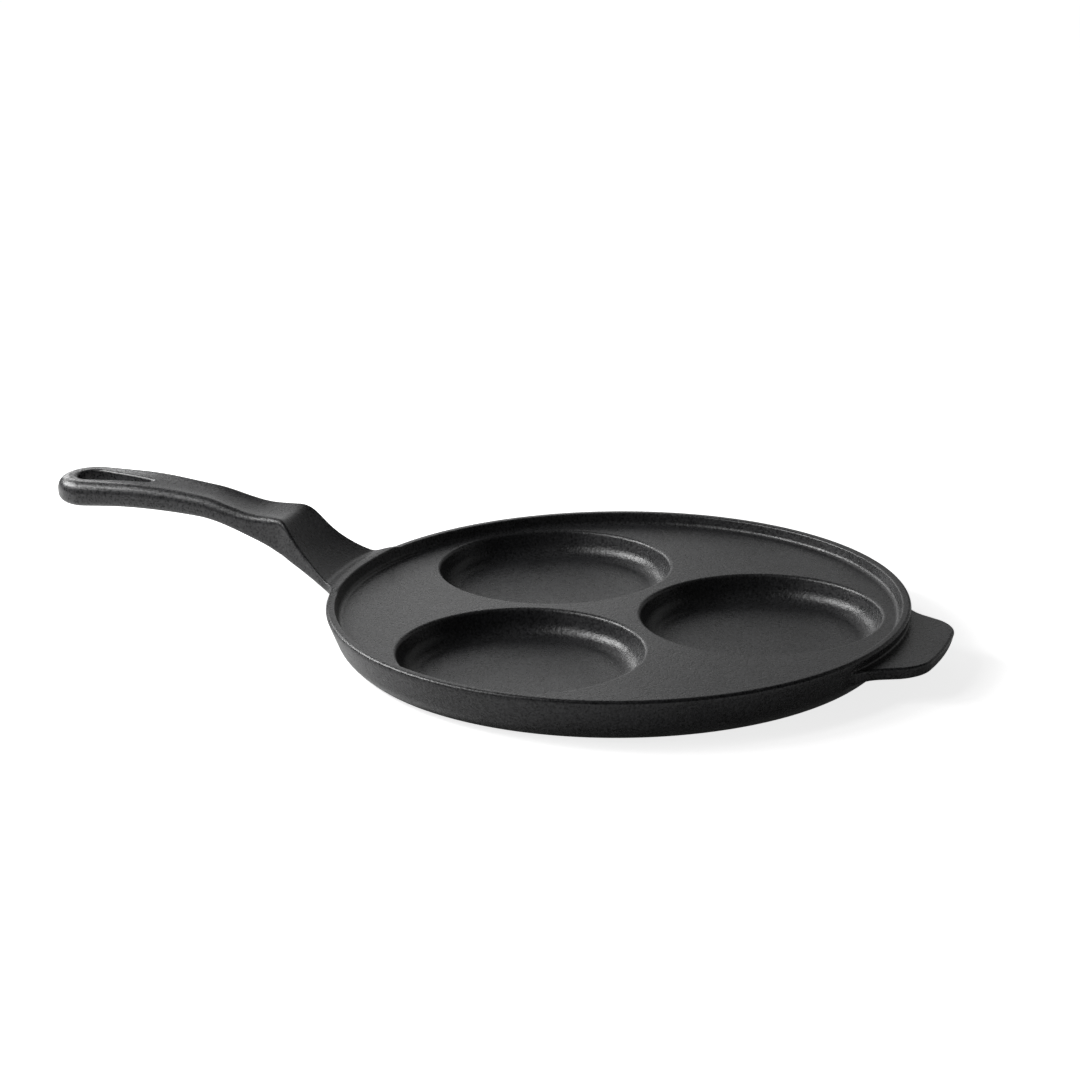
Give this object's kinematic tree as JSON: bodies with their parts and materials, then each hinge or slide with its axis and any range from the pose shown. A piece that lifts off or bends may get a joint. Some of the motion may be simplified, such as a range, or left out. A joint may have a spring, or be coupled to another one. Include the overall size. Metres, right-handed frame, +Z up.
{
  "type": "uttapam pan",
  "caption": "Round cast iron pan with shallow round cooking pits in a rimmed plate, a raised long handle with a hanging slot and a flat helper handle.",
  "frame": {"origin": "on the axis of the round pan, at the level of the surface that it stands on", "axes": "+X from the axis toward the helper handle with the long handle along -X, +Y across the pan, +Z up out of the pits"},
  "size_m": [0.3711, 0.224, 0.0459],
  "materials": {
    "pan_iron": "matte seasoned cast iron with a fine sand-cast grain",
    "handle_iron": "matte seasoned cast iron with a fine sand-cast grain",
    "helper_iron": "matte seasoned cast iron with a fine sand-cast grain"
  },
  "bodies": {
    "root": {"pan_body": "pan_iron", "long_handle": "handle_iron", "helper_handle": "helper_iron"}
  },
  "joints": []
}
